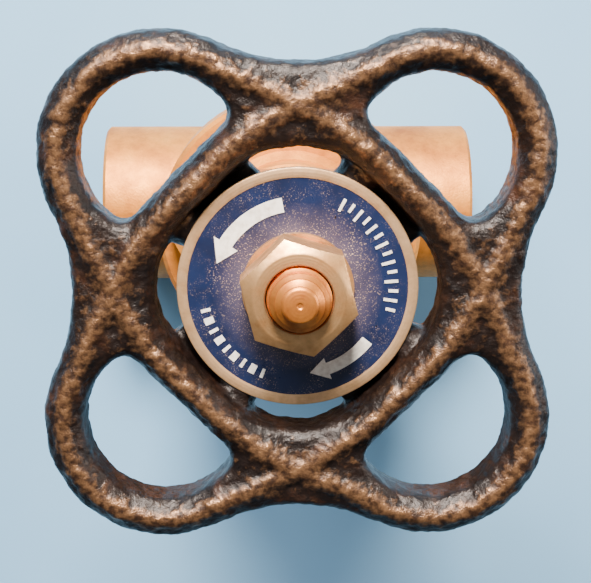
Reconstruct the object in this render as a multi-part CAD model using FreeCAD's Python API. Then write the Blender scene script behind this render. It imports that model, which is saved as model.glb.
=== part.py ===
"""Three-quarter inch bronze gate valve with solder ends and a non-rising stem.

Millimetres. The origin is where the stem's axis crosses the run's axis. +X runs along the
pipe run and +Z runs up the stem to the handwheel. The wedge is modelled shut.
"""
import FreeCAD, Part
import math
import os

V = FreeCAD.Vector
X_AXIS = V(1, 0, 0)
Z_AXIS = V(0, 0, 1)
ORIGIN = V(0, 0, 0)

# Pipe run: a socket at each end takes a 22.2 mm copper tube and stops it at a shoulder
RUN_LENGTH = 62.0
RUN_R = 13.3
SOCKET_R = 11.16
SOCKET_DEPTH = 19.05
PORT_R = 9.5
RUN_EDGE = 0.5

# Body barrel, and the collar that the bonnet screws into
BARREL_R = 16.0
BARREL_BASE_Z = -1.5
COLLAR_R = 20.4
COLLAR_BOTTOM_Z = 20.5
COLLAR_TOP_Z = 31.0
COLLAR_FLARE = 4.0
COLLAR_EDGE = 0.6
CROTCH_FILLET = 2.5
BONNET_THREAD_R = 16.5
BONNET_THREAD_DEPTH = 9.0
BARREL_BORE_R = 13.2

# Wedge and the tapered chamber that it slides in
WEDGE_R = 11.5
WEDGE_HALF = 6.0
WEDGE_TAPER = math.tan(math.radians(3.5))
WEDGE_BOSS_R = 6.5
WEDGE_BOSS_TOP_Z = 17.5
BOSS_EDGE = 0.6
WEDGE_BORE_BOTTOM_Z = -10.8
WING_HALF_X = 1.5
WING_TIP_Y = 12.4
WING_HALF_Z = 8.0
SEAT_GAP = 0.04
CHAMBER_GAP = 0.4
CHAMBER_TOP_Z = 14.0
WEDGE_TRAVEL = 21.03

# Stem: left-hand thread in the wedge, thrust collar, shaft, square for the wheel, nut thread
STEM_THREAD_R = 4.4
STEM_FOOT_Z = 10.6
STEM_COLLAR_R = 7.2
STEM_COLLAR_Z = 41.6
STEM_COLLAR_HEIGHT = 3.0
STEM_SHAFT_R = 4.35
SQUARE_FLATS = 7.2
SQUARE_BOTTOM_Z = 68.5
NUT_THREAD_R = 3.97
TIP_FLAT_R = 2.2
TIP_CHAMFER = 1.4
STEM_TIP_Z = 90.3
RUNNING_GAP = 0.06

# Bonnet: hexagon on the collar, and a neck with room for the raised wedge's boss
BONNET_HEX_FLATS = 32.0
BONNET_HEX_HEIGHT = 6.5
NECK_R = 11.6
NECK_TOP_Z = 46.0
BOSS_ROOM_R = 7.8
BOSS_ROOM_TOP_Z = 39.4
BOX_THREAD_R = 8.8

# Stuffing box, packing, gland and packing nut
BOX_HEX_FLATS = 22.0
BOX_HEX_HEIGHT = 5.0
BOX_BARREL_R = 8.6
BOX_TOP_Z = 61.0
PACKING_R = 6.7
PACKING_BOTTOM_Z = 49.5
PACKING_RING_HEIGHT = 2.7
PACKING_RINGS = ("packing_ring_lower", "packing_ring_middle", "packing_ring_upper")
GLAND_FLANGE_R = 7.7
GLAND_FLANGE_HEIGHT = 1.6
NUT_HEX_FLATS = 22.0
PACKING_NUT_BOTTOM_Z = 53.0
PACKING_NUT_TOP_Z = 66.0
PACKING_NUT_BORE_R = 4.9

# Handwheel: a lobed rim and a rounded square of rails, both symmetric about the diagonals
WHEEL_Z = 78.0
LOBE_CENTRE = 23.4
LOBE_R = 12.4
NOTCH_R = 25.0
RIM_HALF_WIDTH = 2.5
RAIL_CENTRE = 18.2
RAIL_HALF_WIDTH = 2.2
RAIL_CORNER_R = 14.5
RIM_HALF_DEPTH = 4.4
RIM_ROUNDING = 1.8
HOLE_TIP_R = 2.2
HUB_R = 9.0
HUB_FOOT_R = 7.5
HUB_BOTTOM_Z = 69.0
SPOKE_WIDTH = 13.0
SPOKE_BOTTOM_Z = 72.6
SPOKE_TOP_Z = 76.4

# Identification plate, washer and nut that hold the wheel on the stem
PLATE_Z = 78.1
PLATE_R = 14.9
PLATE_THICKNESS = 0.9
WASHER_R = 6.9
WASHER_THICKNESS = 1.0
NUT_FLATS = 12.7
NUT_HEIGHT = 6.75
NUT_CORNER_ANGLE = 44.0
HOLE_CLEARANCE = 0.1

# Small bevels and steps
NECK_FOOT_BEVEL = 1.2
NECK_TOP_BEVEL = 0.8
BOSS_ROOM_SHOULDER = 3.0
GLAND_STAND = 0.8
BOSS_ROOT_DEPTH = 3.0
BOSS_ROOT_BEVEL = 1.0
STEM_FOOT_BEVEL = 1.0
HUB_BEVEL = 0.5
PLATE_BEVEL = 0.2
HEX_FACE_SHARE = 0.95
HEX_CHAMFER_ANGLE = 30
SMALL = 0.01

FAR = 100.0


def turned(profile):
    """Solid of revolution about the stem's axis from (radius, height) points."""
    points = [V(radius, 0, height) for radius, height in profile]
    wire = Part.makePolygon(points + points[:1])
    return Part.Face(wire).revolve(ORIGIN, Z_AXIS, 360)


def column(radius, bottom, top):
    """Upright cylinder on the stem's axis."""
    return Part.makeCylinder(radius, top - bottom, V(0, 0, bottom))


def run_bar(radius, half_length):
    """Cylinder on the run's axis, centred on the stem."""
    return Part.makeCylinder(radius, 2 * half_length, V(-half_length, 0, 0), X_AXIS)


def upright_block(half_x, half_y, bottom, top):
    """Rectangular block centred on the stem's axis."""
    return Part.makeBox(2 * half_x, 2 * half_y, top - bottom, V(-half_x, -half_y, bottom))


def hexagon(flats, bottom, top):
    """Hexagonal prism with two corners on the X axis."""
    corner = flats / math.sqrt(3)
    angles = [math.radians(60 * step) for step in range(7)]
    points = [V(corner * math.cos(a), corner * math.sin(a), bottom) for a in angles]
    return Part.Face(Part.makePolygon(points)).extrude(V(0, 0, top - bottom))


def chamfered_hexagon(flats, bottom, top, bottom_chamfer):
    """Hexagon whose corners are turned off at 30 degrees at the top, and below if asked."""
    corner = flats / math.sqrt(3)
    face_r = HEX_FACE_SHARE * flats / 2
    drop = (corner - face_r) * math.tan(math.radians(HEX_CHAMFER_ANGLE))
    if bottom_chamfer:
        start = [(0, bottom), (face_r, bottom), (corner, bottom + drop)]
    else:
        start = [(0, bottom), (corner, bottom)]
    envelope = turned(start + [(corner, top - drop), (face_r, top), (0, top)])
    return hexagon(flats, bottom, top).common(envelope)


def tapered_block(half_thickness, half_y, bottom, top):
    """Block with two flat faces that spread upwards at the wedge's taper."""
    low = half_thickness + WEDGE_TAPER * bottom
    high = half_thickness + WEDGE_TAPER * top
    outline = ((-low, bottom), (low, bottom), (high, top), (-high, top))
    corners = [V(x, -half_y, z) for x, z in outline]
    return Part.Face(Part.makePolygon(corners + corners[:1])).extrude(V(0, 2 * half_y, 0))


def wedge_chamber():
    """Slot between the seats, with a groove each side for the wedge's guide wings."""
    side = WEDGE_R + CHAMBER_GAP
    outline = run_bar(side, FAR).fuse(upright_block(FAR, side, 0, CHAMBER_TOP_Z))
    slot = tapered_block(WEDGE_HALF + SEAT_GAP, FAR, -side, CHAMBER_TOP_Z).common(outline)
    groove_half_x = WING_HALF_X + CHAMBER_GAP / 2
    groove = upright_block(groove_half_x, WING_TIP_Y + CHAMBER_GAP, -WING_HALF_Z - CHAMBER_GAP, CHAMBER_TOP_Z)
    return slot.fuse(groove)


def body_casting():
    """Outside of the body: barrel with a domed foot, collar, and the run blended into it."""
    casting = turned([
        (0, BARREL_BASE_Z), (BARREL_R, BARREL_BASE_Z), (BARREL_R, COLLAR_BOTTOM_Z - COLLAR_FLARE),
        (COLLAR_R, COLLAR_BOTTOM_Z), (COLLAR_R, COLLAR_TOP_Z - COLLAR_EDGE),
        (COLLAR_R - COLLAR_EDGE, COLLAR_TOP_Z), (0, COLLAR_TOP_Z)])
    casting = casting.fuse(Part.makeSphere(BARREL_R, V(0, 0, BARREL_BASE_Z)))
    run = run_bar(RUN_R, RUN_LENGTH / 2)
    ends = [edge for edge in run.Edges if edge.BoundBox.XLength < SMALL]
    casting = casting.fuse(run.makeChamfer(RUN_EDGE, ends)).removeSplitter()
    crotch = [edge for edge in casting.Edges
              if edge.BoundBox.XLength > 0.5 and edge.BoundBox.ZLength > BARREL_R / 2
              and BARREL_R / 2 < abs(edge.BoundBox.Center.x) < BARREL_R]
    return casting.makeFillet(CROTCH_FILLET, crotch)


def make_body():
    shoulder_x = RUN_LENGTH / 2 - SOCKET_DEPTH
    inside = run_bar(PORT_R, RUN_LENGTH / 2).fuse(wedge_chamber())
    for side in (-1, 1):
        inside = inside.fuse(Part.makeCylinder(SOCKET_R, FAR, V(side * shoulder_x, 0, 0), X_AXIS * side))
    inside = inside.fuse(column(BARREL_BORE_R, CHAMBER_TOP_Z, COLLAR_TOP_Z))
    inside = inside.fuse(column(BONNET_THREAD_R, COLLAR_TOP_Z - BONNET_THREAD_DEPTH, COLLAR_TOP_Z))
    return body_casting().cut(inside)


def make_bonnet():
    hex_top = COLLAR_TOP_Z + BONNET_HEX_HEIGHT
    skirt_bottom = COLLAR_TOP_Z - BONNET_THREAD_DEPTH
    outside = chamfered_hexagon(BONNET_HEX_FLATS, COLLAR_TOP_Z, hex_top, False)
    outside = outside.fuse(column(BONNET_THREAD_R, skirt_bottom, COLLAR_TOP_Z))
    outside = outside.fuse(turned([
        (0, hex_top), (NECK_R + NECK_FOOT_BEVEL, hex_top), (NECK_R, hex_top + NECK_FOOT_BEVEL),
        (NECK_R, NECK_TOP_Z - NECK_TOP_BEVEL), (NECK_R - NECK_TOP_BEVEL, NECK_TOP_Z), (0, NECK_TOP_Z)]))
    raised_wedge_top = WEDGE_TRAVEL + WEDGE_R + CHAMBER_GAP
    inside = turned([
        (0, skirt_bottom), (BARREL_BORE_R, skirt_bottom), (BARREL_BORE_R, raised_wedge_top),
        (BOSS_ROOM_R, raised_wedge_top + BOSS_ROOM_SHOULDER), (BOSS_ROOM_R, BOSS_ROOM_TOP_Z),
        (0, BOSS_ROOM_TOP_Z)])
    inside = inside.fuse(column(STEM_THREAD_R + RUNNING_GAP, BOSS_ROOM_TOP_Z, STEM_COLLAR_Z))
    inside = inside.fuse(column(BOX_THREAD_R, STEM_COLLAR_Z - RUNNING_GAP, NECK_TOP_Z))
    return outside.cut(inside)


def make_stuffing_box():
    spigot_bottom = STEM_COLLAR_Z + STEM_COLLAR_HEIGHT + RUNNING_GAP
    hex_top = NECK_TOP_Z + BOX_HEX_HEIGHT
    outside = column(BOX_THREAD_R, spigot_bottom, NECK_TOP_Z)
    outside = outside.fuse(chamfered_hexagon(BOX_HEX_FLATS, NECK_TOP_Z, hex_top, False))
    outside = outside.fuse(column(BOX_BARREL_R, hex_top, BOX_TOP_Z))
    inside = column(STEM_SHAFT_R + RUNNING_GAP, spigot_bottom, BOX_TOP_Z)
    return outside.cut(inside.fuse(column(PACKING_R, PACKING_BOTTOM_Z, BOX_TOP_Z)))


def make_packing_ring(index):
    bottom = PACKING_BOTTOM_Z + index * PACKING_RING_HEIGHT
    top = bottom + PACKING_RING_HEIGHT
    return column(PACKING_R, bottom, top).cut(column(STEM_SHAFT_R + RUNNING_GAP / 2, bottom, top))


def make_packing_gland():
    bottom = PACKING_BOTTOM_Z + len(PACKING_RINGS) * PACKING_RING_HEIGHT
    flange_bottom = BOX_TOP_Z + GLAND_STAND
    flange_top = flange_bottom + GLAND_FLANGE_HEIGHT
    outside = column(PACKING_R - RUNNING_GAP, bottom, flange_bottom)
    outside = outside.fuse(column(GLAND_FLANGE_R, flange_bottom, flange_top))
    return outside.cut(column(STEM_SHAFT_R + RUNNING_GAP, bottom, flange_top))


def make_packing_nut():
    gland_top = BOX_TOP_Z + GLAND_STAND + GLAND_FLANGE_HEIGHT
    outside = chamfered_hexagon(NUT_HEX_FLATS, PACKING_NUT_BOTTOM_Z, PACKING_NUT_TOP_Z, True)
    inside = column(BOX_BARREL_R, PACKING_NUT_BOTTOM_Z, gland_top)
    return outside.cut(inside.fuse(column(PACKING_NUT_BORE_R, gland_top, PACKING_NUT_TOP_Z)))


def make_wedge():
    disc = run_bar(WEDGE_R, FAR).common(tapered_block(WEDGE_HALF, FAR, -WEDGE_R, WEDGE_R))
    wings = upright_block(WING_HALF_X, WING_TIP_Y, -WING_HALF_Z, WING_HALF_Z)
    boss = turned([
        (0, WEDGE_R - BOSS_ROOT_DEPTH), (WEDGE_BOSS_R - BOSS_ROOT_BEVEL, WEDGE_R - BOSS_ROOT_DEPTH),
        (WEDGE_BOSS_R, WEDGE_R),
        (WEDGE_BOSS_R, WEDGE_BOSS_TOP_Z - BOSS_EDGE), (WEDGE_BOSS_R - BOSS_EDGE, WEDGE_BOSS_TOP_Z),
        (0, WEDGE_BOSS_TOP_Z)])
    bore = column(STEM_THREAD_R + RUNNING_GAP, WEDGE_BORE_BOTTOM_Z, FAR)
    return disc.fuse(wings).fuse(boss).cut(bore)


def make_stem():
    shaft = turned([
        (0, STEM_FOOT_Z), (STEM_THREAD_R - STEM_FOOT_BEVEL, STEM_FOOT_Z),
        (STEM_THREAD_R, STEM_FOOT_Z + STEM_FOOT_BEVEL),
        (STEM_THREAD_R, STEM_COLLAR_Z), (STEM_COLLAR_R, STEM_COLLAR_Z),
        (STEM_COLLAR_R, STEM_COLLAR_Z + STEM_COLLAR_HEIGHT),
        (STEM_SHAFT_R, STEM_COLLAR_Z + STEM_COLLAR_HEIGHT), (STEM_SHAFT_R, SQUARE_BOTTOM_Z),
        (0, SQUARE_BOTTOM_Z)])
    return shaft.fuse(stem_square(0)).fuse(turned([
        (0, PLATE_Z), (NUT_THREAD_R, PLATE_Z), (NUT_THREAD_R, STEM_TIP_Z - TIP_CHAMFER),
        (TIP_FLAT_R, STEM_TIP_Z), (0, STEM_TIP_Z)])).removeSplitter()


def stem_square(gap):
    """The stem's square with turned corners; with a gap, the hole in the wheel that takes it."""
    half = SQUARE_FLATS / 2 + gap
    return upright_block(half, half, SQUARE_BOTTOM_Z, PLATE_Z).common(
        column(STEM_SHAFT_R + gap, SQUARE_BOTTOM_Z, PLATE_Z))


def polar(radius, degrees, height):
    return V(radius * math.cos(math.radians(degrees)), radius * math.sin(math.radians(degrees)), height)


def lobed_outline(bottom):
    """Outer edge of the rim: a lobe on each diagonal, with hollow arcs between them."""
    lobe_r = LOBE_R + RIM_HALF_WIDTH
    notch_r = NOTCH_R - RIM_HALF_WIDTH
    lobe_offset = LOBE_CENTRE / math.sqrt(2)
    notch_centre = lobe_offset + math.sqrt((lobe_r + notch_r) ** 2 - lobe_offset ** 2)
    tangent_angle = math.degrees(math.atan2(lobe_offset, notch_centre - lobe_offset))
    edges = []
    for quarter in range(4):
        turn = 90 * quarter
        lobe = polar(LOBE_CENTRE, 45 + turn, bottom)
        arc_angles = (-tangent_angle, 45, 90 + tangent_angle)
        lobe_points = [lobe + polar(lobe_r, angle + turn, 0) for angle in arc_angles]
        edges.append(Part.Arc(*lobe_points).toShape())
        notch = polar(notch_centre, 90 + turn, bottom)
        next_start = polar(LOBE_CENTRE, 135 + turn, bottom) + polar(lobe_r, 90 - tangent_angle + turn, 0)
        edges.append(Part.Arc(lobe_points[2], notch + polar(notch_r, turn - 90, 0), next_start).toShape())
    return Part.Wire(edges)


def rounded_square(bottom):
    """Opening inside the rails: straight sides across the diagonals, wide corners on the axes."""
    corner_r = RAIL_CORNER_R - RAIL_HALF_WIDTH
    corner_centre = (RAIL_CENTRE - RAIL_CORNER_R) * math.sqrt(2)
    starts, edges = [], []
    for quarter in range(4):
        turn = 90 * quarter
        centre = polar(corner_centre, turn, bottom)
        arc = [centre + polar(corner_r, turn + angle, 0) for angle in (-45, 0, 45)]
        starts.append(arc)
    for quarter, arc in enumerate(starts):
        edges.append(Part.Arc(*arc).toShape())
        edges.append(Part.LineSegment(arc[2], starts[(quarter + 1) % 4][0]).toShape())
    return Part.Wire(edges)


def lobe_hole(quarter, bottom, height):
    """D-shaped finger hole in one lobe, with rounded tips."""
    hole = Part.makeCylinder(LOBE_R - RIM_HALF_WIDTH, height, V(LOBE_CENTRE, 0, bottom))
    beyond_rail = Part.makeBox(FAR, 2 * FAR, height, V(RAIL_CENTRE + RAIL_HALF_WIDTH, -FAR, bottom))
    hole = hole.common(beyond_rail)
    tips = [edge for edge in hole.Edges if edge.BoundBox.ZLength > height - SMALL
            and abs(edge.BoundBox.XMax - RAIL_CENTRE - RAIL_HALF_WIDTH) < SMALL]
    hole = hole.makeFillet(HOLE_TIP_R, tips)
    hole.rotate(ORIGIN, Z_AXIS, 45 + 90 * quarter)
    return hole


def make_handwheel():
    bottom = WHEEL_Z - RIM_HALF_DEPTH
    height = 2 * RIM_HALF_DEPTH
    rim = Part.Face(lobed_outline(bottom)).extrude(V(0, 0, height))
    rim = rim.cut(Part.Face(rounded_square(bottom)).extrude(V(0, 0, height)))
    for quarter in range(4):
        rim = rim.cut(lobe_hole(quarter, bottom, height))
    flat_edges = [edge for edge in rim.Edges if edge.BoundBox.ZLength < SMALL]
    rim = rim.makeFillet(RIM_ROUNDING, flat_edges)
    hub = turned([
        (0, HUB_BOTTOM_Z), (HUB_FOOT_R, HUB_BOTTOM_Z), (HUB_R, SPOKE_BOTTOM_Z), (HUB_R, PLATE_Z - HUB_BEVEL),
        (HUB_R - HUB_BEVEL, PLATE_Z), (0, PLATE_Z)])
    wheel = rim.fuse(hub)
    for diagonal in (45, 135):
        spoke = Part.makeBox(2 * RAIL_CENTRE, SPOKE_WIDTH, SPOKE_TOP_Z - SPOKE_BOTTOM_Z,
                             V(-RAIL_CENTRE, -SPOKE_WIDTH / 2, SPOKE_BOTTOM_Z))
        spoke.rotate(ORIGIN, Z_AXIS, diagonal)
        wheel = wheel.fuse(spoke)
    return wheel.cut(stem_square(RUNNING_GAP)).removeSplitter()


def make_identification_plate():
    top = PLATE_Z + PLATE_THICKNESS
    disc = turned([
        (NUT_THREAD_R + HOLE_CLEARANCE, PLATE_Z), (PLATE_R - PLATE_BEVEL, PLATE_Z),
        (PLATE_R, PLATE_Z + PLATE_BEVEL),
        (PLATE_R, top - PLATE_BEVEL), (PLATE_R - PLATE_BEVEL, top), (NUT_THREAD_R + HOLE_CLEARANCE, top)])
    return disc


def make_wheel_washer():
    bottom = PLATE_Z + PLATE_THICKNESS
    top = bottom + WASHER_THICKNESS
    return column(WASHER_R, bottom, top).cut(column(NUT_THREAD_R + HOLE_CLEARANCE, bottom, top))


def make_handwheel_nut():
    bottom = PLATE_Z + PLATE_THICKNESS + WASHER_THICKNESS
    top = bottom + NUT_HEIGHT
    nut = chamfered_hexagon(NUT_FLATS, bottom, top, True).cut(column(NUT_THREAD_R, bottom, top))
    nut.rotate(ORIGIN, Z_AXIS, NUT_CORNER_ANGLE)
    return nut


nodes = {
    "body": make_body(),
    "bonnet": make_bonnet(),
    "stuffing_box": make_stuffing_box(),
    "packing_gland": make_packing_gland(),
    "packing_nut": make_packing_nut(),
    "wedge": make_wedge(),
    "stem": make_stem(),
    "handwheel": make_handwheel(),
    "identification_plate": make_identification_plate(),
    "wheel_washer": make_wheel_washer(),
    "handwheel_nut": make_handwheel_nut(),
}
for number, ring_name in enumerate(PACKING_RINGS):
    nodes[ring_name] = make_packing_ring(number)

os.makedirs("parts", exist_ok=True)
for name, shape in nodes.items():
    print(name, shape.isValid(), len(shape.Solids), round(shape.Volume, 1), "mm3")
    shape.exportStep("parts/" + name + ".step")
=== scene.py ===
"""Looks of a small bronze gate valve, seen down its stem at the cast handwheel.

Lengths in this file are millimetres until MM turns them into Blender's metres. The frame's X
runs along the pipe run and Z up the stem.
"""
import math

import bmesh
import bpy
import numpy as np
from mathutils import Matrix, Vector, noise


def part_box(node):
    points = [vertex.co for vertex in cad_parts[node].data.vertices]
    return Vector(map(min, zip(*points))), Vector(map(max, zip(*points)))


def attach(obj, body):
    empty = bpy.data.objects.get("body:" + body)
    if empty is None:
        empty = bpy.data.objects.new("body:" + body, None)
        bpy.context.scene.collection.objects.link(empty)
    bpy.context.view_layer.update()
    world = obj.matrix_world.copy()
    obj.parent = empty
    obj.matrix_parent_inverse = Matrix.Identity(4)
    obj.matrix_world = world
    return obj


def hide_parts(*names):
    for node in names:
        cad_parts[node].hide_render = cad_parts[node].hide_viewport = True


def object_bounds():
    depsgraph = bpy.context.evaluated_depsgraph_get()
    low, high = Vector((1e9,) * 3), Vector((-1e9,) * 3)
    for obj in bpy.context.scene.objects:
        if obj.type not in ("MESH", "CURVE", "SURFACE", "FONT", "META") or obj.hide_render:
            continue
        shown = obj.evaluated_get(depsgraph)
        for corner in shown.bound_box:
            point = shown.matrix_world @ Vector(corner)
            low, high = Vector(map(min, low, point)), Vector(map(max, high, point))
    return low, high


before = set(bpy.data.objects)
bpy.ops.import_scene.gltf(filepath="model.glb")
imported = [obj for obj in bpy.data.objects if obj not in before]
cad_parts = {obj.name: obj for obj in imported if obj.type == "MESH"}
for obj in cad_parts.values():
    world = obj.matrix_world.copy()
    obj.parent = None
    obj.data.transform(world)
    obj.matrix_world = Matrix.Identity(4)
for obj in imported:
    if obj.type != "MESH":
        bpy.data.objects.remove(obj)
CAD_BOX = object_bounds()

MM = 0.001
STEM_BODY = "stem_and_wheel"


def node_box(node):
    """Lowest and highest corner of a CAD node, in millimetres."""
    low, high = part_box(node)
    return Vector(low) / MM, Vector(high) / MM


WHEEL_LOW, WHEEL_HIGH = node_box("handwheel")
PLATE_LOW, PLATE_HIGH = node_box("identification_plate")
NUT_LOW, NUT_HIGH = node_box("handwheel_nut")
STEM_LOW, STEM_HIGH = node_box("stem")

# Handwheel: crest curves over the CAD wheel's outline
RIM_HALF_DEPTH = 4.4
WHEEL_MID_Z = WHEEL_HIGH.z - RIM_HALF_DEPTH
LOBE_CENTRE = 23.4
LOBE_R = 12.4
LOBE_ARC = 70.0
RAIL_CENTRE = 18.2
RAIL_HALF_LENGTH = 4.0
BRIDGE_PULL = 8.0
CREST_HALF_WIDTH = 2.45
CREST_POWER = 1.9
WEB_FLATTENING = 0.80
HUB_SAFE_R = 9.3
SKIRT_CENTRE = 17.4
SKIRT_CORNER_R = 11.9
SKIRT_HALF_WIDTH = 2.2
SKIRT_HALF_DEPTH = 2.6
SKIRT_DROP = 1.8
VOXEL = 0.30
SMOOTHING_STEPS = 34

# Surface of the casting: size and height of each layer of bumps
LUMP_SIZE, LUMP_HEIGHT = 2.8, 0.17
PIT_SIZE, PIT_HEIGHT = 1.1, 0.13
GRIT_SIZE, GRIT_HEIGHT = 0.55, 0.07
PIT_SHIFT = Vector((7, 3, 1))
GRIT_SHIFT = Vector((1, 9, 4))
# Crest tan: metal showing through, plus a painted highlight on the tops of the rails and lobes
CREST_WEAR_AND_HIGHLIGHT = 0.62
CREST_WEAR_AND_HIGHLIGHT_POWER = 7

# Plate and nut
STEPS = 144
HOLE_R = 4.07
PLATE_R = PLATE_HIGH.x
ENAMEL_R = 13.6
NUT_FLATS = 12.7
NUT_TURN = 44.0
NUT_FACE_SHARE = 0.87
NUT_CHAMFER_ANGLE = 30

# Stem
STEM_STEPS = 96
THREAD_R = 3.9
THREAD_PITCH = 1.411
THREAD_DEPTH = 0.62
LEAD_R = 4.4
LEAD_PITCH = 3.175
LEAD_DEPTH = 0.9
CORE_R = 3.6
THRUST_COLLAR_HEIGHT = 3.0
SHAFT_R = 4.35
SQUARE_HALF = 3.6

# Marks in the enamel
MARK_DEPTH = 0.26
MARK_BELOW_BORDER = 0.07
TICK_OUTER_R = 12.4
DASH_INNER_R, DASH_OUTER_R = 11.1, 12.3


def add_mesh(name, verts, faces, materials, body, slot, replaced=()):
    """Makes one closed piece from millimetre points and rides it on a body; its slot is not used."""
    data = bpy.data.meshes.new(name)
    data.from_pydata([tuple(c * MM for c in v) for v in verts], [], faces)
    data.update()
    piece = bpy.data.objects.new(name, data)
    bpy.context.scene.collection.objects.link(piece)
    for material in materials:
        data.materials.append(material)
    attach(piece, body)
    if replaced:
        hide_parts(*replaced)
    return piece


def apply_modifiers(piece):
    """Bakes the modifier stack into the mesh."""
    graph = bpy.context.evaluated_depsgraph_get()
    baked = bpy.data.meshes.new_from_object(piece.evaluated_get(graph))
    piece.modifiers.clear()
    piece.data = baked


def smooth_by_angle(piece, degrees):
    """Shades smooth, keeping edges sharper than the angle crisp."""
    mesh = piece.data
    mesh.polygons.foreach_set("use_smooth", [True] * len(mesh.polygons))
    bm = bmesh.new()
    bm.from_mesh(mesh)
    limit = math.radians(degrees)
    for edge in bm.edges:
        edge.smooth = len(edge.link_faces) != 2 or edge.calc_face_angle(0) < limit
    bm.to_mesh(mesh)
    bm.free()


# ---------------------------------------------------------------- materials

def new_material(name):
    material = bpy.data.materials.new(name)
    material.use_nodes = True
    tree = material.node_tree
    return material, tree, tree.nodes["Principled BSDF"]


def object_coords(tree):
    return tree.nodes.new("ShaderNodeTexCoord").outputs["Object"]


def noise_value(tree, coords, size_mm, detail=4.0, roughness=0.55):
    """Fractal noise whose blotches are about size_mm across."""
    node = tree.nodes.new("ShaderNodeTexNoise")
    node.inputs["Scale"].default_value = 1.0 / (size_mm * MM)
    node.inputs["Detail"].default_value = detail
    node.inputs["Roughness"].default_value = roughness
    tree.links.new(coords, node.inputs["Vector"])
    return node.outputs["Fac"]


def ramp(tree, value, stops):
    """Colour ramp from (position, grey or colour) stops."""
    node = tree.nodes.new("ShaderNodeValToRGB")
    elements = node.color_ramp.elements
    while len(elements) < len(stops):
        elements.new(0.5)
    for element, (position, shade) in zip(elements, stops):
        colour = shade if isinstance(shade, tuple) else (shade, shade, shade)
        element.position = position
        element.color = (*colour, 1.0)
    tree.links.new(value, node.inputs["Fac"])
    return node.outputs["Color"]


def mix_colour(tree, factor, first, second):
    node = tree.nodes.new("ShaderNodeMix")
    node.data_type = "RGBA"
    for socket, value in ((0, factor), (6, first), (7, second)):
        if isinstance(value, (tuple, float)):
            node.inputs[socket].default_value = (*value, 1.0) if isinstance(value, tuple) else value
        else:
            tree.links.new(value, node.inputs[socket])
    return node.outputs[2]


def math_node(tree, operation, first, second=0.5):
    node = tree.nodes.new("ShaderNodeMath")
    node.operation = operation
    for socket, value in enumerate((first, second)):
        if isinstance(value, float):
            node.inputs[socket].default_value = value
        else:
            tree.links.new(value, node.inputs[socket])
    return node.outputs[0]


def bump(tree, shader, height, depth_mm, strength=1.0):
    node = tree.nodes.new("ShaderNodeBump")
    node.inputs["Strength"].default_value = strength
    node.inputs["Distance"].default_value = depth_mm * MM
    tree.links.new(height, node.inputs["Height"])
    tree.links.new(node.outputs["Normal"], shader.inputs["Normal"])


def wheel_iron():
    """Dark brown coating over rough cast iron, glossy on its bumps; the crests are tan, partly from metal
    showing through and partly a painted highlight.
    """
    material, tree, shader = new_material("wheel_iron")
    coords = object_coords(tree)
    wear_and_highlight = tree.nodes.new("ShaderNodeAttribute")
    wear_and_highlight.attribute_name = "wear_and_highlight"
    grains = noise_value(tree, coords, 1.0, 5.0, 0.6)
    blotches = noise_value(tree, coords, 3.6, 5.0, 0.65)
    dark = ramp(tree, blotches, [(0.32, (0.005, 0.003, 0.003)), (0.54, (0.014, 0.007, 0.005)),
                                 (0.76, (0.060, 0.023, 0.011))])
    # Tan on the crests: metal showing through the coating, and partly a painted highlight on the tops of
    # rails and lobes
    worn_and_highlit = ramp(tree, grains, [(0.38, (0.080, 0.037, 0.019)), (0.66, (0.40, 0.205, 0.098))])
    rubbed_and_highlit = math_node(tree, "ADD", wear_and_highlight.outputs["Fac"], math_node(tree, "MULTIPLY", grains, 0.70))
    wear_and_highlight_mask = ramp(tree, rubbed_and_highlit, [(0.50, 0.0), (0.98, 1.0)])
    tree.links.new(mix_colour(tree, wear_and_highlight_mask, dark, worn_and_highlit), shader.inputs["Base Color"])
    tree.links.new(ramp(tree, wear_and_highlight_mask, [(0.0, 0.4), (1.0, 0.8)]), shader.inputs["Metallic"])
    tree.links.new(ramp(tree, grains, [(0.35, 0.46), (0.65, 0.30)]), shader.inputs["Roughness"])
    fine = noise_value(tree, coords, 0.4, 4.0, 0.6)
    relief = math_node(tree, "ADD", grains, math_node(tree, "MULTIPLY", fine, 0.45))
    bump(tree, shader, relief, 0.17)
    return material


def cast_bronze():
    """Matte orange-tan bronze with a fine sand-cast grain and faint tarnish."""
    material, tree, shader = new_material("cast_bronze")
    coords = object_coords(tree)
    mottle = noise_value(tree, coords, 7.0, 5.0, 0.6)
    colour = ramp(tree, mottle, [(0.3, (0.42, 0.125, 0.014)), (0.55, (0.76, 0.27, 0.032)),
                                 (0.75, (0.90, 0.37, 0.060))])
    grime = ramp(tree, noise_value(tree, coords, 0.7, 4.0), [(0.28, 0.75), (0.5, 1.0)])
    shaded = tree.nodes.new("ShaderNodeMix")
    shaded.data_type = "RGBA"
    shaded.blend_type = "MULTIPLY"
    shaded.inputs[0].default_value = 0.6
    tree.links.new(colour, shaded.inputs[6])
    tree.links.new(grime, shaded.inputs[7])
    tree.links.new(shaded.outputs[2], shader.inputs["Base Color"])
    shader.inputs["Metallic"].default_value = 0.55
    tree.links.new(ramp(tree, mottle, [(0.3, 0.58), (0.7, 0.46)]), shader.inputs["Roughness"])
    bump(tree, shader, noise_value(tree, coords, 0.35, 4.0, 0.6), 0.05)
    return material


def stem_radius(tree, coords):
    """Distance from the stem's axis, in metres."""
    split = tree.nodes.new("ShaderNodeSeparateXYZ")
    tree.links.new(coords, split.inputs[0])
    square_x = math_node(tree, "MULTIPLY", split.outputs["X"], split.outputs["X"])
    square_y = math_node(tree, "MULTIPLY", split.outputs["Y"], split.outputs["Y"])
    return math_node(tree, "SQRT", math_node(tree, "ADD", square_x, square_y)), split.outputs["Z"]


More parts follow.
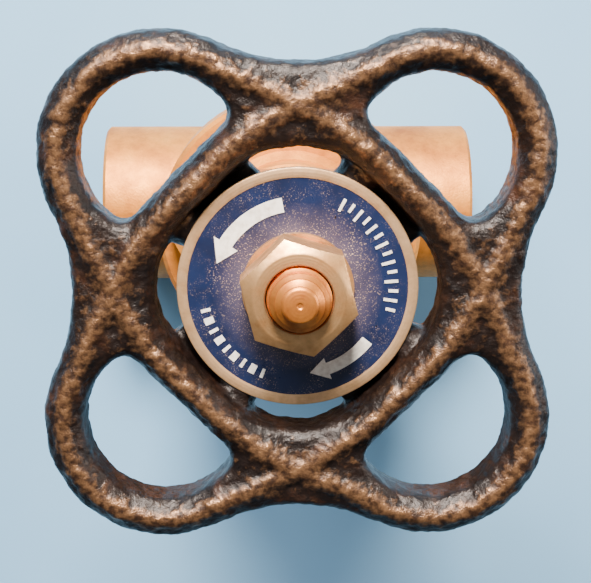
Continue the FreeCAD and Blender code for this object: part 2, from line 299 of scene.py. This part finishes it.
def turned_metal(name, light, dark, metallic, roughness, ring_mm):
    """Machined metal with faint tool rings about the stem and a little tarnish."""
    material, tree, shader = new_material(name)
    coords = object_coords(tree)
    radius, height = stem_radius(tree, coords)
    along = math_node(tree, "ADD", radius, height)
    rings = math_node(tree, "SINE", math_node(tree, "MULTIPLY", along, 2 * math.pi / (ring_mm * MM)))
    tarnish = noise_value(tree, coords, 2.2, 5.0, 0.6)
    tree.links.new(ramp(tree, tarnish, [(0.3, dark), (0.65, light)]), shader.inputs["Base Color"])
    shader.inputs["Metallic"].default_value = metallic
    tree.links.new(ramp(tree, tarnish, [(0.3, min(1.0, roughness + 0.14)), (0.7, roughness)]),
                   shader.inputs["Roughness"])
    relief = math_node(tree, "ADD", math_node(tree, "MULTIPLY", rings, 0.22),
                       math_node(tree, "MULTIPLY", noise_value(tree, coords, 0.5, 5.0), 1.4))
    bump(tree, shader, relief, 0.012)
    return material


def plate_blue():
    """Navy enamel with a painted grey reflection halo round the nut, dusty there, with bronze specks."""
    material, tree, shader = new_material("plate_blue")
    coords = object_coords(tree)
    radius, _ = stem_radius(tree, coords)
    patch = noise_value(tree, coords, 4.0, 4.0)
    blue = ramp(tree, patch, [(0.3, (0.004, 0.008, 0.034)), (0.7, (0.010, 0.018, 0.062))])
    # Painted reflection: a grey halo mixed into the enamel round the nut
    near_nut = ramp(tree, math_node(tree, "MULTIPLY", radius, 1.0 / (14.0 * MM)), [(0.50, 1.0), (0.76, 0.0)])
    painted_halo = math_node(tree, "MULTIPLY", near_nut, ramp(tree, patch, [(0.30, 0.25), (0.65, 0.75)]))
    enamel_with_painted_halo = mix_colour(tree, painted_halo, blue, (0.115, 0.085, 0.115))
    specks = ramp(tree, noise_value(tree, coords, 0.17, 2.0, 0.5), [(0.59, 0.0), (0.66, 1.0)])
    drifts = ramp(tree, noise_value(tree, coords, 2.5, 3.0), [(0.45, 0.0), (0.70, 0.5)])
    gathered = math_node(tree, "ADD", drifts, painted_halo)
    dust = math_node(tree, "MULTIPLY", specks, gathered)
    tree.links.new(mix_colour(tree, dust, enamel_with_painted_halo, (0.60, 0.42, 0.30)), shader.inputs["Base Color"])
    tree.links.new(ramp(tree, patch, [(0.3, 0.38), (0.7, 0.26)]), shader.inputs["Roughness"])
    shader.inputs["Coat Weight"].default_value = 0.4
    shader.inputs["Coat Roughness"].default_value = 0.2
    bump(tree, shader, noise_value(tree, coords, 0.4, 4.0), 0.012)
    return material


def mark_white():
    """Cream-white printed enamel, slightly chipped in tone."""
    material, tree, shader = new_material("mark_white")
    coords = object_coords(tree)
    tone = noise_value(tree, coords, 0.8, 4.0)
    tree.links.new(ramp(tree, tone, [(0.3, (0.62, 0.56, 0.50)), (0.6, (0.86, 0.82, 0.76))]),
                   shader.inputs["Base Color"])
    shader.inputs["Roughness"].default_value = 0.5
    bump(tree, shader, tone, 0.01)
    return material


def packing_fibre():
    """Dark woven packing."""
    material, tree, shader = new_material("packing_fibre")
    coords = object_coords(tree)
    weave = noise_value(tree, coords, 0.6, 3.0)
    tree.links.new(ramp(tree, weave, [(0.3, 0.03), (0.7, 0.09)]), shader.inputs["Base Color"])
    shader.inputs["Roughness"].default_value = 0.8
    bump(tree, shader, weave, 0.08)
    return material


# ---------------------------------------------------------------- shapes

def arc_points(centre, radius, start, end, count):
    angles = np.radians(np.linspace(start, end, count))
    return np.c_[centre[0] + radius * np.cos(angles), centre[1] + radius * np.sin(angles)]


def bezier_points(p0, p1, p2, p3, count):
    t = np.linspace(0, 1, count)[:, None]
    return (1 - t) ** 3 * p0 + 3 * (1 - t) ** 2 * t * p1 + 3 * (1 - t) * t ** 2 * p2 + t ** 3 * p3


def crest_ring():
    """One of the two long rings: a lobe at each end of a diagonal, a straight rail on each side."""
    end = math.radians(LOBE_ARC)
    lobe = arc_points((LOBE_CENTRE, 0), LOBE_R, 0, LOBE_ARC, 40)
    heading = np.array([-math.sin(end), math.cos(end)])
    rail_end = np.array([RAIL_HALF_LENGTH, RAIL_CENTRE])
    bridge = bezier_points(lobe[-1], lobe[-1] + BRIDGE_PULL * heading,
                           rail_end + np.array([BRIDGE_PULL, 0]), rail_end, 40)
    rail = np.linspace(rail_end, (0, RAIL_CENTRE), 8)
    quarter = np.vstack([lobe, bridge[1:], rail[1:]])
    half = np.vstack([quarter, quarter[-2::-1] * (-1, 1)])
    return np.vstack([half, half[-2:0:-1] * (1, -1)])


def skirt_ring():
    """Rounded square under the rails, which widens their inner slope down to the spokes."""
    corner_centre = (SKIRT_CENTRE - SKIRT_CORNER_R) * math.sqrt(2)
    path = []
    for quarter in range(4):
        corner = arc_points((corner_centre, 0), SKIRT_CORNER_R, -45, 45, 24)
        side = np.linspace(corner[-1], (corner[0][1] * -1, corner[0][0]), 12)[1:-1]
        path += [rotated(corner, -90 * quarter), rotated(side, -90 * quarter)]
    return np.vstack(path)


def tube(path, half_width, half_depth, power, z):
    """Closed tube along a flat closed path, with a superellipse section; power under 2 sharpens its crest."""
    heading = np.roll(path, -1, 0) - np.roll(path, 1, 0)
    heading /= np.linalg.norm(heading, axis=1)[:, None]
    normal = np.c_[heading[:, 1], -heading[:, 0]]
    turn = np.linspace(0, 2 * math.pi, 28, endpoint=False)
    across = half_width * np.sign(np.cos(turn)) * np.abs(np.cos(turn)) ** (2 / power)
    up = half_depth * np.sign(np.sin(turn)) * np.abs(np.sin(turn)) ** (2 / power)
    verts, faces = [], []
    for point, side in zip(path, normal):
        verts += [(*(point + a * side), z + u) for a, u in zip(across, up)]
    count, ring = len(path), len(turn)
    for i in range(count):
        for j in range(ring):
            a, b = i * ring + j, i * ring + (j + 1) % ring
            c, d = ((i + 1) % count) * ring + (j + 1) % ring, ((i + 1) % count) * ring + j
            faces.append((a, b, c, d))
    return verts, faces


def rotated(points, degrees):
    a = math.radians(degrees)
    return points @ np.array([[math.cos(a), math.sin(a)], [-math.sin(a), math.cos(a)]])


def surface_of_rings(rings, closed):
    """Joins rings of points into quads; closed joins the last ring to the first, else the ends are capped."""
    ring = len(rings[0])
    verts = [tuple(p) for points in rings for p in points]
    faces = []
    spans = len(rings) if closed else len(rings) - 1
    for i in range(spans):
        nxt = (i + 1) % len(rings)
        for j in range(ring):
            k = (j + 1) % ring
            faces.append((i * ring + j, i * ring + k, nxt * ring + k, nxt * ring + j))
    if not closed:
        faces.append(tuple(reversed(range(ring))))
        faces.append(tuple(range((len(rings) - 1) * ring, len(rings) * ring)))
    return verts, faces


def circle_ring(radius, z, count):
    angles = np.linspace(0, 2 * math.pi, count, endpoint=False)
    return [(radius * math.cos(a), radius * math.sin(a), z) for a in angles]


def hexagon_ring(flats, limit, z, count, turn):
    """Hexagon cut back to a limiting radius, with its first corner at the turn angle."""
    points = []
    for a in np.linspace(0, 2 * math.pi, count, endpoint=False):
        within = (a + math.pi / 6) % (math.pi / 3) - math.pi / 6
        radius = min(flats / 2 / math.cos(math.pi / 6 - abs(within)), limit)
        points.append((radius * math.cos(a + turn), radius * math.sin(a + turn), z))
    return points


def build_wheel(material):
    """Cast handwheel: two crossed rings over a thinner web, fused, softened and roughened."""
    verts, faces = [], []
    tubes = [tube(rotated(crest_ring(), diagonal), CREST_HALF_WIDTH, RIM_HALF_DEPTH, CREST_POWER, WHEEL_MID_Z)
             for diagonal in (45, 135)]
    tubes.append(tube(skirt_ring(), SKIRT_HALF_WIDTH, SKIRT_HALF_DEPTH, 2.0, WHEEL_MID_Z - SKIRT_DROP))
    for more_verts, more_faces in tubes:
        faces += [tuple(i + len(verts) for i in face) for face in more_faces]
        verts += more_verts
    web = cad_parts["handwheel"].data
    start = len(verts)
    for vertex in web.vertices:
        x, y, z = vertex.co / MM
        if math.hypot(x, y) > HUB_SAFE_R:
            z = WHEEL_MID_Z + (z - WHEEL_MID_Z) * WEB_FLATTENING
        verts.append((x, y, z))
    faces += [tuple(i + start for i in polygon.vertices) for polygon in web.polygons]
    wheel = add_mesh("cast_handwheel", verts, faces, [], STEM_BODY, "wheel_iron", ["handwheel"])
    bm = bmesh.new()
    bm.from_mesh(wheel.data)
    bmesh.ops.remove_doubles(bm, verts=bm.verts, dist=1e-6)
    bm.to_mesh(wheel.data)
    bm.free()
    remesh = wheel.modifiers.new("fuse", "REMESH")
    remesh.mode = "VOXEL"
    remesh.voxel_size = VOXEL * MM
    soften = wheel.modifiers.new("soften", "SMOOTH")
    soften.factor = 0.5
    soften.iterations = SMOOTHING_STEPS
    apply_modifiers(wheel)
    roughen(wheel)
    wheel.data.materials.clear()
    wheel.data.materials.append(material)
    return wheel


def roughen(wheel):
    """Pushes the surface in and out like a sand casting, and stores per point how much metal shows, with a
    painted highlight on the crests.
    """
    mesh = wheel.data
    count = len(mesh.vertices)
    normals = np.empty(count * 3, np.float32)
    mesh.vertices.foreach_get("normal", normals)
    normals = normals.reshape(-1, 3)
    wear_and_highlight = np.zeros(count, np.float32)
    for index, vertex in enumerate(mesh.vertices):
        point = vertex.co / MM
        lumps = noise.noise(point / LUMP_SIZE) * LUMP_HEIGHT
        pits = noise.noise(point / PIT_SIZE + PIT_SHIFT) * PIT_HEIGHT
        grit = noise.noise(point / GRIT_SIZE + GRIT_SHIFT) * GRIT_HEIGHT
        vertex.co = (point + Vector(normals[index]) * (lumps + pits + grit)) * MM
        # Crest height gives metal showing through and a painted highlight; pits and grit add random abrasion
        height = (point.z - WHEEL_MID_Z) / RIM_HALF_DEPTH
        wear_and_highlight[index] = max(0.0, height) ** CREST_WEAR_AND_HIGHLIGHT_POWER * CREST_WEAR_AND_HIGHLIGHT + pits * 0.9 + grit
    attribute = mesh.attributes.new("wear_and_highlight", "FLOAT", "POINT")
    attribute.data.foreach_set("value", wear_and_highlight)
    mesh.polygons.foreach_set("use_smooth", [True] * len(mesh.polygons))
    mesh.update()


def build_plate(metal, enamel):
    """Thin disc with a raised bare border and a dished enamel face."""
    bottom, top = PLATE_LOW.z, PLATE_HIGH.z
    outline = [
        (HOLE_R, bottom), (PLATE_R - 0.15, bottom), (PLATE_R, bottom + 0.15), (PLATE_R, top - 0.15),
        (PLATE_R - 0.05, top - 0.05), (PLATE_R - 0.18, top), (ENAMEL_R + 0.1, top),
        (ENAMEL_R + 0.02, top - 0.03), (ENAMEL_R, top - 0.10), (ENAMEL_R - 1.2, top - 0.14),
        (ENAMEL_R - 3.5, top - 0.20), (7.5, top - 0.12), (6.9, top - 0.02), (HOLE_R, top)]
    verts, faces = surface_of_rings([circle_ring(r, z, STEPS) for r, z in outline], True)
    plate = add_mesh("blue_plate", verts, faces, [metal, enamel], STEM_BODY, "plate_blue",
                     ["identification_plate"])
    enamel_from, enamel_to = 8 * STEPS, 13 * STEPS
    for index, polygon in enumerate(plate.data.polygons):
        polygon.material_index = 1 if enamel_from <= index < enamel_to else 0
    smooth_by_angle(plate, 35)
    return plate


def build_nut(material):
    """Hexagon nut chamfered on both faces, with the edge of its hole eased."""
    corner = NUT_FLATS / math.sqrt(3)
    face_r = NUT_FACE_SHARE * NUT_FLATS / 2
    low, high = NUT_LOW.z, NUT_HIGH.z
    drop = (corner - face_r) * math.tan(math.radians(NUT_CHAMFER_ANGLE))
    rounded = 0.12
    turn = math.radians(NUT_TURN)
    stations = [(face_r + (corner - face_r) * s, low + drop * s) for s in np.linspace(0, 1, 12)]
    stations += [(corner - (corner - face_r) * s, high - drop * (1 - s))
                 for s in np.linspace(0, 1 - rounded, 12)]
    stations += [(face_r + 0.03, high - 0.03), (face_r - 0.1, high)]
    rings = [circle_ring(HOLE_R, low, STEPS * 2)]
    rings += [hexagon_ring(NUT_FLATS, limit, z, STEPS * 2, turn) for limit, z in stations]
    rings += [circle_ring(r, z, STEPS * 2) for r, z in (
        (4.16, high), (4.12, high - 0.04), (HOLE_R, high - 0.12))]
    nut = add_mesh("hexagon_nut", *surface_of_rings(rings, True), [material], STEM_BODY, "nut_metal",
                   ["handwheel_nut"])
    smooth_by_angle(nut, 16)
    return nut


def thread_ring(major, depth, pitch, hand, z, count):
    """One level of a screw thread: hand is 1 for right-hand and -1 for left-hand."""
    points = []
    for a in np.linspace(0, 2 * math.pi, count, endpoint=False):
        phase = (z / pitch - hand * a / (2 * math.pi)) % 1.0
        groove = min(1.0, max(0.0, 1.35 - abs(phase - 0.5) * 4.0))
        points.append(((major - depth * groove) * math.cos(a), (major - depth * groove) * math.sin(a), z))
    return points


def square_ring(half, limit, z, count):
    points = []
    for a in np.linspace(0, 2 * math.pi, count, endpoint=False):
        radius = min(limit, half / max(abs(math.cos(a)), abs(math.sin(a))))
        points.append((radius * math.cos(a), radius * math.sin(a), z))
    return points


def build_stem(material):
    """Stem with its left-hand lead thread, thrust collar, shaft, square and threaded, chamfered end."""
    foot, tip = STEM_LOW.z, STEM_HIGH.z
    collar_r = STEM_HIGH.x
    box_low, _ = node_box("stuffing_box")
    collar_top = box_low.z - 0.06
    collar_bottom = collar_top - THRUST_COLLAR_HEIGHT
    rings = [circle_ring(r, z, STEM_STEPS) for r, z in ((2.5, foot), (3.3, foot + 0.05))]
    rings += [thread_ring(LEAD_R, LEAD_DEPTH, LEAD_PITCH, -1, z, STEM_STEPS)
              for z in np.arange(foot + 1.0, collar_bottom - 1.0, 0.25)]
    profile = ((CORE_R, collar_bottom - 0.8), (CORE_R, collar_bottom), (collar_r - 0.2, collar_bottom),
               (collar_r, collar_bottom + 0.2), (collar_r, collar_top - 0.2), (collar_r - 0.2, collar_top),
               (SHAFT_R, collar_top), (SHAFT_R, WHEEL_LOW.z - 0.4))
    rings += [circle_ring(r, z, STEM_STEPS) for r, z in profile]
    rings += [square_ring(SQUARE_HALF, SHAFT_R, z, STEM_STEPS)
              for z in (WHEEL_LOW.z - 0.3, PLATE_LOW.z - 0.1)]
    rings += [thread_ring(THREAD_R, THREAD_DEPTH, THREAD_PITCH, 1, z, STEM_STEPS)
              for z in np.arange(PLATE_LOW.z, NUT_HIGH.z + 0.35, 0.1)]
    end = ((3.62, NUT_HIGH.z + 0.5), (3.55, NUT_HIGH.z + 0.6), (3.55, tip - 1.75), (3.46, tip - 1.62),
           (3.05, tip - 1.30), (3.00, tip - 1.20), (2.96, tip - 1.02), (2.28, tip - 0.50), (2.22, tip - 0.42),
           (2.20, tip - 0.26), (1.98, tip - 0.04), (1.90, tip), (0.42, tip), (0.26, tip - 0.10))
    rings += [circle_ring(r, z, STEM_STEPS) for r, z in end]
    stem = add_mesh("threaded_stem", *surface_of_rings(rings, False), [material], STEM_BODY, "stem_bronze",
                    ["stem"])
    smooth_by_angle(stem, 32)
    return stem


# ---------------------------------------------------------------- plate marks

def picture_polar(radius, degrees):
    """Point on the plate at an angle as seen from above the wheel, with -X to the right."""
    a = math.radians(degrees)
    return -radius * math.cos(a), -radius * math.sin(a)


def arc_band(inner, outer, start, end, count):
    """Outline of a band between two radii."""
    angles = np.linspace(start, end, count)
    return [picture_polar(outer, a) for a in angles] + [picture_polar(inner, a) for a in angles[::-1]]


def arrow(inner, outer, start, end, head):
    """Curved arrow whose head is the given number of degrees long, past its end."""
    middle = (inner + outer) / 2
    spread = (outer - inner) * 0.95
    angles = np.linspace(start, end, 20)
    return ([picture_polar(outer, a) for a in angles] + [picture_polar(middle + spread, end)]
            + [picture_polar(middle, end + head)] + [picture_polar(middle - spread, end)]
            + [picture_polar(inner, a) for a in angles[::-1]])


def build_marks(material):
    """Generic turning marks in the enamel: two turn arrows, a scale of ticks and a row of dashes."""
    outlines = [arrow(9.5, 11.3, 100, 148, 15), arrow(10.2, 11.7, 322, 290, -12)]
    for index, angle in enumerate(np.linspace(-14, 62, 14)):
        depth = 1.7 if index % 2 else 1.2
        outlines.append(arc_band(TICK_OUTER_R - depth, TICK_OUTER_R, angle - 0.9, angle + 0.9, 3))
    for index, angle in enumerate(np.linspace(194, 248, 9)):
        width = 2.1 if index % 2 else 1.0
        outlines.append(arc_band(DASH_INNER_R, DASH_OUTER_R, angle - width, angle + width, 4))
    low, high = PLATE_HIGH.z - MARK_DEPTH, PLATE_HIGH.z - MARK_BELOW_BORDER
    verts, faces = [], []
    for outline in outlines:
        start, count = len(verts), len(outline)
        verts += [(x, y, low) for x, y in outline] + [(x, y, high) for x, y in outline]
        faces.append(tuple(start + i for i in range(count)))
        faces.append(tuple(start + count + i for i in reversed(range(count))))
        for i in range(count):
            j = (i + 1) % count
            faces.append((start + j, start + i, start + count + i, start + count + j))
    marks = add_mesh("turning_marks", verts, faces, [material], STEM_BODY, "plate_blue")
    bm = bmesh.new()
    bm.from_mesh(marks.data)
    bmesh.ops.recalc_face_normals(bm, faces=bm.faces)
    bm.to_mesh(marks.data)
    bm.free()
    return marks


def finish_node(node, material, edge_mm=0.0):
    """Gives a CAD node its finish and, where asked, a small rounding on its edges."""
    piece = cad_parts[node]
    for slot in piece.material_slots:
        slot.material = material
    if edge_mm:
        bevel = piece.modifiers.new("edges", "BEVEL")
        bevel.width = edge_mm * MM
        bevel.segments = 2
        bevel.limit_method = "ANGLE"
        bevel.angle_limit = math.radians(35)
        bevel.harden_normals = True


# ---------------------------------------------------------------- stage

CAMERA_DISTANCE = 180.0
CAMERA_TILT = 0.195
CAMERA_YAW = -0.023
CAMERA_LENS = 88.56
AIM_RIGHT = -0.261
AIM_UP = -0.666
FLOOR_REACH = 1500
FLOOR_GAP = 0.05
SKY_COLOUR = (0.86, 0.93, 1.0, 1)
SKY_STRENGTH = 0.18


def add_camera():
    """Looks down the stem from a little behind vertical; right is -X and up is -Y in its picture."""
    right, up, toward = Vector((-1, 0, 0)), Vector((0, -1, 0)), Vector((0, 0, 1))
    back = (right * math.sin(CAMERA_YAW) + toward * math.cos(CAMERA_YAW)) * math.cos(CAMERA_TILT)
    back += up * math.sin(CAMERA_TILT)
    side = up.cross(back).normalized()
    over = back.cross(side)
    aim = right * AIM_RIGHT + up * AIM_UP + toward * WHEEL_MID_Z
    data = bpy.data.cameras.new("camera")
    data.lens = CAMERA_LENS
    data.clip_start = 0.01
    camera = bpy.data.objects.new("camera", data)
    rotation = Matrix((side, over, back)).transposed().to_4x4()
    camera.matrix_world = Matrix.Translation((aim + back * CAMERA_DISTANCE) * MM) @ rotation
    bpy.context.scene.collection.objects.link(camera)
    bpy.context.scene.camera = camera


def add_light(name, place, aim, size, power, colour):
    data = bpy.data.lights.new(name, "AREA")
    data.shape = "DISK"
    data.size = size * MM
    data.energy = power
    data.color = colour
    light = bpy.data.objects.new(name, data)
    light.location = Vector(place) * MM
    light.rotation_mode = "QUATERNION"
    light.rotation_quaternion = (Vector(aim) - Vector(place)).to_track_quat("-Z", "Y")
    bpy.context.scene.collection.objects.link(light)


def add_stage():
    """Pale floor under the body, three soft lights and a pale sky."""
    floor_z = CAD_BOX[0].z / MM - FLOOR_GAP
    reach = FLOOR_REACH
    data = bpy.data.meshes.new("floor")
    corners = [(-reach, -reach), (reach, -reach), (reach, reach), (-reach, reach)]
    data.from_pydata([(x * MM, y * MM, floor_z * MM) for x, y in corners], [], [(0, 1, 2, 3)])
    floor = bpy.data.objects.new("floor", data)
    bpy.context.scene.collection.objects.link(floor)
    material, tree, shader = new_material("floor")
    tone = noise_value(tree, object_coords(tree), 60.0, 3.0)
    tree.links.new(ramp(tree, tone, [(0.3, (0.22, 0.46, 0.72)), (0.7, (0.26, 0.51, 0.77))]),
                   shader.inputs["Base Color"])
    shader.inputs["Roughness"].default_value = 0.9
    data.materials.append(material)
    world = bpy.data.worlds.new("sky")
    world.use_nodes = True
    sky = world.node_tree.nodes["Background"]
    sky.inputs["Color"].default_value = SKY_COLOUR
    sky.inputs["Strength"].default_value = SKY_STRENGTH
    bpy.context.scene.world = world
    add_light("key", (30, -340, 330), (0, 0, 50), 130, 9.5, (1.0, 0.92, 0.82))
    add_light("overhead", (500, -800, 800), (0, 0, 0), 500, 8.0, (0.96, 0.98, 1.0))
    add_light("side", (-330, -60, 160), (0, 0, 60), 160, 0.7, (1.0, 0.95, 0.88))


IRON = wheel_iron()
BRONZE = cast_bronze()
MACHINED = turned_metal("machined_bronze", (0.80, 0.33, 0.085), (0.46, 0.155, 0.035), 0.8, 0.36, 0.5)
STEM_METAL = turned_metal("stem_bronze", (0.80, 0.28, 0.055), (0.44, 0.125, 0.022), 0.8, 0.36, 0.4)
NUT_METAL = turned_metal("nut_metal", (0.95, 0.54, 0.24), (0.56, 0.27, 0.10), 0.9, 0.34, 0.35)
BORDER_METAL = turned_metal("plate_border", (0.80, 0.50, 0.27), (0.50, 0.29, 0.14), 0.8, 0.42, 0.4)
ENAMEL = plate_blue()

build_wheel(IRON)
build_plate(BORDER_METAL, ENAMEL)
build_marks(mark_white())
build_nut(NUT_METAL)
build_stem(STEM_METAL)
finish_node("body", BRONZE, 0.15)
finish_node("bonnet", BRONZE, 0.15)
finish_node("wedge", BRONZE)
finish_node("wheel_washer", NUT_METAL, 0.1)
for node_name in ("stuffing_box", "packing_nut", "packing_gland"):
    finish_node(node_name, MACHINED)
FIBRE = packing_fibre()
for node_name in ("packing_ring_lower", "packing_ring_middle", "packing_ring_upper"):
    finish_node(node_name, FIBRE)
add_stage()
add_camera()
